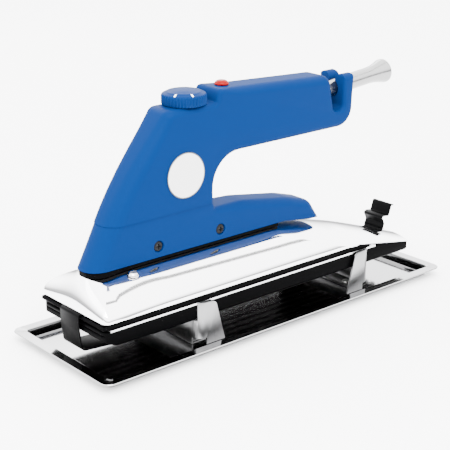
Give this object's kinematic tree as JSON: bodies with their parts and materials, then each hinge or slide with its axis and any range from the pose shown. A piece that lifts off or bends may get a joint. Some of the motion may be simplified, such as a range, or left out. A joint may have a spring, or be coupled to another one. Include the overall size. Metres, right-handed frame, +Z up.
{
  "type": "carpet seaming iron with rest tray",
  "caption": "Electric hot-melt carpet seaming iron with a chrome cover, a raised pistol-style handle and a thermostat dial, standing on its polished sheet-metal rest tray.",
  "frame": {"origin": "centre of the rest tray's underside", "axes": "+X from the nose to the cord end, +Z up, Y across; the near side with the label is -Y"},
  "size_m": [0.33, 0.118, 0.1767],
  "materials": {
    "tray_steel": "polished sheet steel, almost a mirror",
    "plate_steel": "bright plated sheet",
    "bracket_steel": "satin sheet steel",
    "zinc_steel": "zinc plated",
    "cover_chrome": "bright chrome plating",
    "screw_chrome": "bright chrome plating",
    "nonstick_coating": "black non-stick coating, fine satin",
    "black_strip": "blackened spring steel, satin",
    "black_screw": "blackened steel",
    "black_seal": "black moulded heat-proof rubber",
    "phenolic": "black phenolic",
    "ceramic_fibre": "pale ceramic fibre mat",
    "handle_blue": "blue moulded nylon, fine satin grain",
    "dial_blue": "blue moulded plastic, soft gloss",
    "lamp_red": "clear red lens",
    "lamp_glass": "neon lamp glass",
    "guard_steel": "bright plated tube",
    "label_white": "white plastic label, blank",
    "terminal_white": "white polyamide",
    "copper": "bright copper",
    "brass": "turned brass",
    "element_steel": "heat-tinted steel sheath",
    "sheath_brown": "brown wire sheath",
    "sheath_blue": "blue wire sheath",
    "sheath_green": "green and yellow wire sheath"
  },
  "bodies": {
    "tray": {"rest_tray": "tray_steel", "front_bracket": "bracket_steel", "rear_bracket": "bracket_steel", "front_bracket_rivet_near": "zinc_steel", "front_bracket_rivet_far": "zinc_steel", "rear_bracket_rivet_near": "zinc_steel", "rear_bracket_rivet_far": "zinc_steel"},
    "iron": {"sole_plate": "nonstick_coating", "heating_element": "element_steel", "mounting_plate": "plate_steel", "cover_seal": "black_seal", "insulation_pad": "ceramic_fibre", "cover": "cover_chrome", "cover_screw_near": "screw_chrome", "cover_screw_far": "screw_chrome", "cover_nut_near": "zinc_steel", "cover_nut_far": "zinc_steel", "handle_gasket": "black_seal", "handle_body": "handle_blue", "handle_skirt": "handle_blue", "handle_bracket": "zinc_steel", "side_screw_near_1": "black_screw", "side_screw_far_1": "black_screw", "side_screw_near_2": "black_screw", "side_screw_far_2": "black_screw", "handle_stud_front": "zinc_steel", "handle_stud_rear": "zinc_steel", "handle_nut_front": "zinc_steel", "handle_nut_rear": "zinc_steel", "thermostat_switch": "phenolic", "sensor_bulb": "copper", "capillary_tube": "copper", "pilot_lamp_lens": "lamp_red", "pilot_lamp_bulb": "lamp_glass", "cord_guard": "guard_steel", "terminal_block": "terminal_white", "cord_clamp": "zinc_steel", "clamp_screw_near": "zinc_steel", "clamp_screw_far": "zinc_steel", "live_lead": "sheath_brown", "switched_lead": "sheath_brown", "neutral_lead": "sheath_blue", "earth_lead": "sheath_green", "front_strap": "black_strip", "side_label": "label_white"},
    "dial": {"thermostat_dial": "dial_blue", "dial_spindle": "brass"},
    "clip": {"rear_clip": "black_strip"}
  },
  "joints": [
    {"name": "iron_lift", "type": "slide", "parent": "tray", "child": "iron", "axis": [0, 0, 1], "range_m": [0, 0.1]},
    {"name": "dial_turn", "type": "hinge", "parent": "iron", "child": "dial", "pos_m": [-0.052, 0, 0.1648], "axis": [0, 0, -1], "range_deg": [0, 270]},
    {"name": "clip_flex", "type": "hinge", "parent": "iron", "child": "clip", "pos_m": [0.142, -0.005, 0.0288], "axis": [0, 1, 0], "range_deg": [0, 6], "stiffness_Nm_per_rad": 3}
  ]
}
